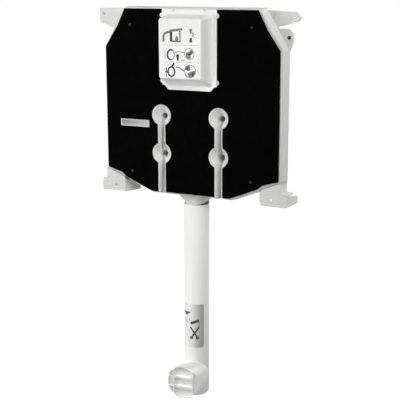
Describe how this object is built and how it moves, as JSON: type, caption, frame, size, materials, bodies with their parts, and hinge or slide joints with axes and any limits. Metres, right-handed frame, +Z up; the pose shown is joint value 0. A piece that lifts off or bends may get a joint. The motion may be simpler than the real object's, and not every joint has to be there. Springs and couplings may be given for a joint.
{
  "type": "concealed toilet cistern",
  "caption": "Slim in-wall toilet cistern: white moulded tank with black insulated front, service cover, dual flush valve, float fill valve and flush pipe with elbow.",
  "frame": {"origin": "middle of the tank's flat back face, on the wall", "axes": "+X along the wall, +Y into the wall, +Z up"},
  "size_m": [0.464, 0.124, 0.856],
  "materials": {
    "white_plastic": "satin moulded",
    "black_foam": "matte foam",
    "black_plastic": "matte",
    "black_rubber": "matte",
    "grey_plastic": "matte",
    "yellow_plastic": "matte",
    "ivory_plastic": "matte",
    "blue_plastic": "matte",
    "brass": "machined",
    "steel": "plain"
  },
  "bodies": {
    "cistern": {"tank": "white_plastic", "front_insulation": "black_foam", "insulation_pins": "black_plastic", "inspection_shaft": "white_plastic", "lower_bracket_left": "white_plastic", "lower_bracket_right": "white_plastic", "bracket_screws": "steel", "flush_bend": "white_plastic", "pipe_seal": "black_rubber", "socket_seal": "black_rubber", "lug_plug": "black_rubber", "valve_seat": "grey_plastic", "seat_gasket": "black_rubber", "valve_cage": "grey_plastic", "lever_bracket": "grey_plastic", "lever_pin": "steel", "inlet_shank": "brass", "inlet_nut": "brass", "inlet_gasket": "black_rubber", "stop_valve_body": "brass", "fill_valve_body": "ivory_plastic", "fill_valve_cap": "blue_plastic", "fill_tube": "ivory_plastic", "float_pin": "steel"},
    "cover": {"shaft_cover": "white_plastic"},
    "cap": {"elbow_cap": "white_plastic"},
    "full_lever": {"full_flush_lever": "ivory_plastic"},
    "half_lever": {"half_flush_lever": "blue_plastic"},
    "flush_valve": {"overflow_tube": "yellow_plastic", "flush_seal": "black_rubber", "lift_rod": "yellow_plastic"},
    "half_rod": {"half_flush_rod": "blue_plastic"},
    "float_lever": {"float_arm": "ivory_plastic", "float": "blue_plastic", "float_screw": "ivory_plastic"},
    "stop_handle": {"stop_valve_handle": "blue_plastic"}
  },
  "joints": [
    {"name": "cover_slide", "type": "slide", "parent": "cistern", "child": "cover", "axis": [0, -1, 0], "range_m": [0, 0.12]},
    {"name": "cap_pull", "type": "slide", "parent": "cistern", "child": "cap", "axis": [0, -1, 0], "range_m": [0, 0.25]},
    {"name": "full_lever_hinge", "type": "hinge", "parent": "cistern", "child": "full_lever", "pos_m": [0, -0.024, 0.031], "axis": [-1, 0, 0], "range_deg": [0, 25]},
    {"name": "flush_valve_lift", "type": "slide", "parent": "cistern", "child": "flush_valve", "axis": [0, 0, 1], "range_m": [0, 0.01071]},
    {"name": "half_lever_hinge", "type": "hinge", "parent": "cistern", "child": "half_lever", "pos_m": [0, -0.024, 0.031], "axis": [-1, 0, 0], "range_deg": [0, 25]},
    {"name": "half_rod_lift", "type": "slide", "parent": "cistern", "child": "half_rod", "axis": [0, 0, 1], "range_m": [0, 0.01071]},
    {"name": "float_hinge", "type": "hinge", "parent": "cistern", "child": "float_lever", "pos_m": [-0.137, -0.0445, 0.085], "axis": [0, 1, 0], "range_deg": [0, 20]},
    {"name": "stop_handle_turn", "type": "hinge", "parent": "cistern", "child": "stop_handle", "pos_m": [-0.112, -0.0575, 0.15], "axis": [0, 1, 0], "range_deg": [0, 90]}
  ],
  "couplings": [
    {"joint": "flush_valve_lift", "follows": "full_lever_hinge", "m_per_rad": 0.024523},
    {"joint": "half_rod_lift", "follows": "half_lever_hinge", "m_per_rad": 0.024523}
  ]
}
